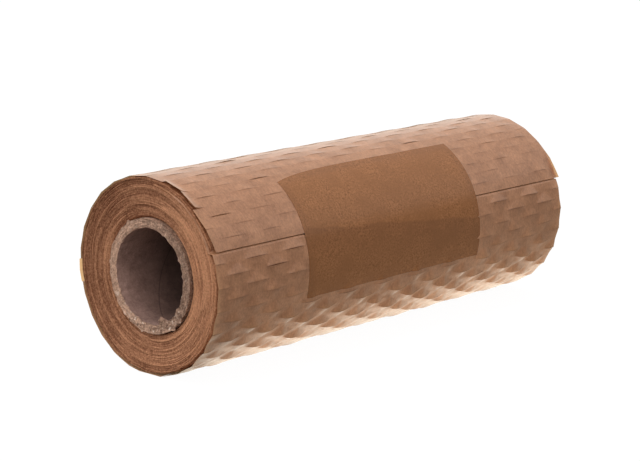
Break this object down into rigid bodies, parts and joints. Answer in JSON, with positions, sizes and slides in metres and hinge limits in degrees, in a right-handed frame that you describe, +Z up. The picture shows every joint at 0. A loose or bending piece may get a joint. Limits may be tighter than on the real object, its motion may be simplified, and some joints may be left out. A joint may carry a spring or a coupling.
{
  "type": "honeycomb paper roll",
  "caption": "Roll of slit kraft paper that opens into a honeycomb wrap, wound on a cardboard core tube and closed with a strip of packing tape.",
  "frame": {"origin": "middle of the small flat spot that the roll lies on, on the floor", "axes": "+X along the roll, away from the dished end; +Z up; the loose edge and its tape are on the -Y side"},
  "size_m": [0.2, 0.0746, 0.0738],
  "materials": {
    "kraft_paper": "matt brown kraft paper with rows of slits",
    "core_board": "grey-brown wound board with a rough sawn edge",
    "packing_tape": "glossy brown plastic film"
  },
  "bodies": {
    "root": {"paper_roll": "kraft_paper", "core_tube": "core_board", "closing_tape": "packing_tape"}
  },
  "joints": []
}
